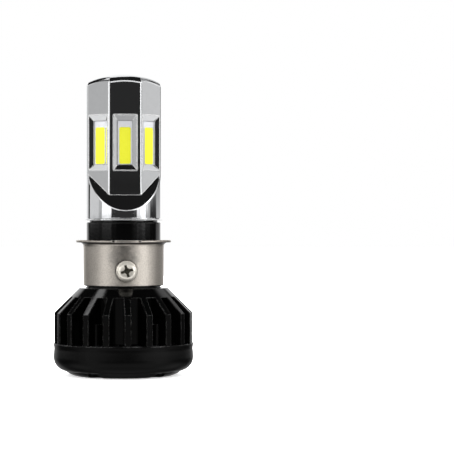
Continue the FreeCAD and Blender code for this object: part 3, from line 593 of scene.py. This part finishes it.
# The studio as the plated surfaces see it: panels painted one over the other on a dark room.
# Each has an azimuth range (0 is the front, 90 the right), an elevation range, the softness of
# its edges, all in degrees, and its level of light.
PANELS = [
    # below the bulb
    ((-180, 180), (-95, -22), 6, 0.06),
    ((-180, 180), (-95, -60), 8, 0.50),
    ((-118, -80), (-62, -28), 4, 0.80),
    ((85, 122), (-58, -24), 4, 0.80),
    ((-75, 75), (-56, -24), 6, 0.9),
    # to the left
    ((-74.5, -42), (-22, 30), 1.0, 1.25),
    ((-43, -15), (0.95, 22), 0.8, 1.05),
    ((-27, -12), (0.95, 5.6), 0.5, 0.011),
    ((-86, -74.5), (-22, 30), 0.6, 0.47),
    ((-132, -86), (-3, 30), 1.0, 0.66),
    ((-152, -141), (-3, 30), 1.5, 0.55),
    # to the right
    ((23, 58), (0.95, 22), 0.8, 2.2),
    ((50, 79), (-22, 30), 1.2, 2.4),
    ((20, 79), (0.95, 5.6), 0.5, 0.35),
    ((27, 46), (0.95, 5.6), 0.5, 2.2),
    ((79, 90), (-22, 30), 0.6, 0.62),
    ((90, 99), (0.95, 30), 0.8, 0.95),
    ((99, 118), (0.95, 30), 2.0, 0.42),
    ((36, 56), (-22, 0.95), 1.5, 1.2),
    ((67, 86), (-22, 0.95), 0.8, 0.45),
    ((86, 116), (-22, 0.95), 0.8, 0.025),
    ((118, 152), (-3, 0.95), 3.0, 0.75),
    # in front, and the dark bands near eye level
    ((-41, 38), (-14, 0.95), 0.3, 0.030),
    ((-41, 52), (12, 26), 1.5, 1.0),
    ((-135, -36), (-7, 0.12), 0.2, 0.04),
    ((36, 86), (-7, 0.12), 0.2, 0.04),
    ((-104, 86), (-7, -1), 0.3, 0.10),
    ((-1, 9), (1.3, 12), 1.0, 0.024),
    # behind
    ((-180, -152), (-25, 38), 3.0, 1.0),
    ((150, 180), (-25, 38), 3.0, 1.0),
    ((-180, -165), (38, 76), 3.0, 1.0),
    ((165, 180), (38, 76), 3.0, 1.0),
    # small ones higher up at the sides
    ((-122.5, -112), (51, 69), 0.6, 2.4),
    ((-105, -93), (42, 49), 1.0, 0.75),
    ((99, 112), (36, 43), 1.0, 0.75),
    ((128, 165), (28, 48), 6.0, 0.6),
]
# the level where there is no panel
ROOM_LEVEL = 0.011


def rises(tree, value, edge, soft):
    return step(tree, value, edge - soft, edge + soft)


def falls(tree, value, edge, soft):
    return step(tree, value, edge - soft, edge + soft, 1.0, 0.0)


def make_surroundings():
    world = bpy.data.worlds.new("studio")
    bpy.context.scene.world = world
    world.use_nodes = True
    tree = world.node_tree
    tree.nodes.clear()
    direction = add(tree, "ShaderNodeTexCoord").outputs["Generated"]
    parts = add(tree, "ShaderNodeSeparateXYZ", {0: direction}).outputs
    turn = calc(tree, "ARCTAN2", parts["X"], calc(tree, "MULTIPLY", parts["Y"], -1.0))
    azimuth = calc(tree, "MULTIPLY", turn, 180.0 / math.pi)
    elevation = calc(tree, "MULTIPLY", calc(tree, "ARCSINE", parts["Z"]), 180.0 / math.pi)
    level = ROOM_LEVEL
    for (left, right), (bottom, top), soft, value in PANELS:
        sides = [rises(tree, elevation, bottom, soft), falls(tree, elevation, top, soft)]
        if left > -180:
            sides.append(rises(tree, azimuth, left, soft))
        if right < 180:
            sides.append(falls(tree, azimuth, right, soft))
        mask = sides[0]
        for side in sides[1:]:
            mask = calc(tree, "MULTIPLY", mask, side)
        level = mix_number(tree, mask, level, value)
    colour = add(tree, "ShaderNodeCombineColor", {0: level, 1: level, 2: level}).outputs[0]
    reflected = add(tree, "ShaderNodeBackground", {"Color": colour})
    backdrop = add(tree, "ShaderNodeBackground", {"Color": grey(1.0)})
    seen = add(tree, "ShaderNodeLightPath").outputs["Is Camera Ray"]
    inputs = {0: seen, 1: reflected.outputs[0], 2: backdrop.outputs[0]}
    both = add(tree, "ShaderNodeMixShader", inputs)
    add(tree, "ShaderNodeOutputWorld", {0: both.outputs[0]})


# ---- floor, lamps and camera ----

# angles in degrees, distances in metres, lens and sensor in millimetres
CAMERA_AZIMUTH = -3.6
CAMERA_DISTANCE = 0.49
CAMERA_HEIGHT = 0.0390
# the bulb stands left of the picture's middle, so the camera is turned this far to its right
CAMERA_PAN = 3.19
LENS = 147.1
SENSOR = 36.0
CLIP_NEAR = 0.01
CLIP_FAR = 20.0
FLOOR_RADIUS = 3.0
FLOOR_CORNERS = 96
# the floor's own light is FLOOR_GLOW inside the first radius, and full beyond the second
SHADOW_RADII = (0.016, 0.050)
FLOOR_GLOW = 0.45
FILL_DISTANCE = 0.9
FILL_SIZE = 0.8
# each lamp's azimuth (0 is the front, 90 the right), elevation and watts
FILLS = {
    "fill_front": (-10, 20, 3.6),
    "fill_back": (175, 25, 9.0),
    "fill_left": (-95, 25, 9.0),
    "fill_right": (95, 25, 9.0),
    "fill_top": (0, 88, 8.0),
}


def make_floor():
    """A pale floor that takes the bulb's soft shadow and runs out into the bright backdrop."""
    look = Look("floor", roughness=0.9, specular_ior_level=0.0)
    tree = look.tree
    look.set(base_color=mix_colour(tree, look.noise(60.0, 3.0), grey(0.90), grey(0.93)))
    away = add(tree, "ShaderNodeVectorMath", {0: look.place}, operation="LENGTH").outputs["Value"]
    look.set(emission_color=grey(1.0))
    look.set(emission_strength=step(tree, away, *SHADOW_RADII, FLOOR_GLOW, 1.0))
    turns = [2 * math.pi * i / FLOOR_CORNERS for i in range(FLOOR_CORNERS)]
    points = [(FLOOR_RADIUS * math.cos(a), FLOOR_RADIUS * math.sin(a), 0) for a in turns]
    mesh = bpy.data.meshes.new("floor")
    mesh.from_pydata(points, [], [tuple(range(FLOOR_CORNERS))])
    mesh.materials.append(look.finish())
    floor = bpy.data.objects.new("floor", mesh)
    floor.visible_glossy = False
    floor.visible_diffuse = False
    bpy.context.collection.objects.link(floor)


def aim(thing, target):
    thing.rotation_euler = (target - thing.location).to_track_quat("-Z", "Y").to_euler()


def add_fill(name, azimuth, elevation, watts):
    """A soft lamp for the matt surfaces. It is hidden from reflections."""
    data = bpy.data.lights.new(name, "AREA")
    data.shape = "DISK"
    data.size = FILL_SIZE
    data.energy = watts
    lamp = bpy.data.objects.new(name, data)
    a = math.radians(azimuth)
    e = math.radians(elevation)
    away = Vector((math.sin(a) * math.cos(e), -math.cos(a) * math.cos(e), math.sin(e)))
    middle = (cad_box[0] + cad_box[1]) / 2
    lamp.location = middle + away * FILL_DISTANCE
    aim(lamp, middle)
    lamp.visible_glossy = False
    lamp.visible_camera = False
    bpy.context.collection.objects.link(lamp)


def make_camera():
    data = bpy.data.cameras.new("camera")
    data.lens = LENS
    data.sensor_width = SENSOR
    data.clip_start = CLIP_NEAR
    data.clip_end = CLIP_FAR
    camera = bpy.data.objects.new("camera", data)
    a = math.radians(CAMERA_AZIMUTH)
    camera.location = (math.sin(a) * CAMERA_DISTANCE, -math.cos(a) * CAMERA_DISTANCE, CAMERA_HEIGHT)
    camera.rotation_euler = (math.radians(90), 0, a - math.radians(CAMERA_PAN))
    bpy.context.collection.objects.link(camera)
    bpy.context.scene.camera = camera


make_surroundings()
make_floor()
for name, (azimuth, elevation, watts) in FILLS.items():
    add_fill(name, azimuth, elevation, watts)
make_camera()
bpy.context.scene.view_settings.view_transform = "Standard"
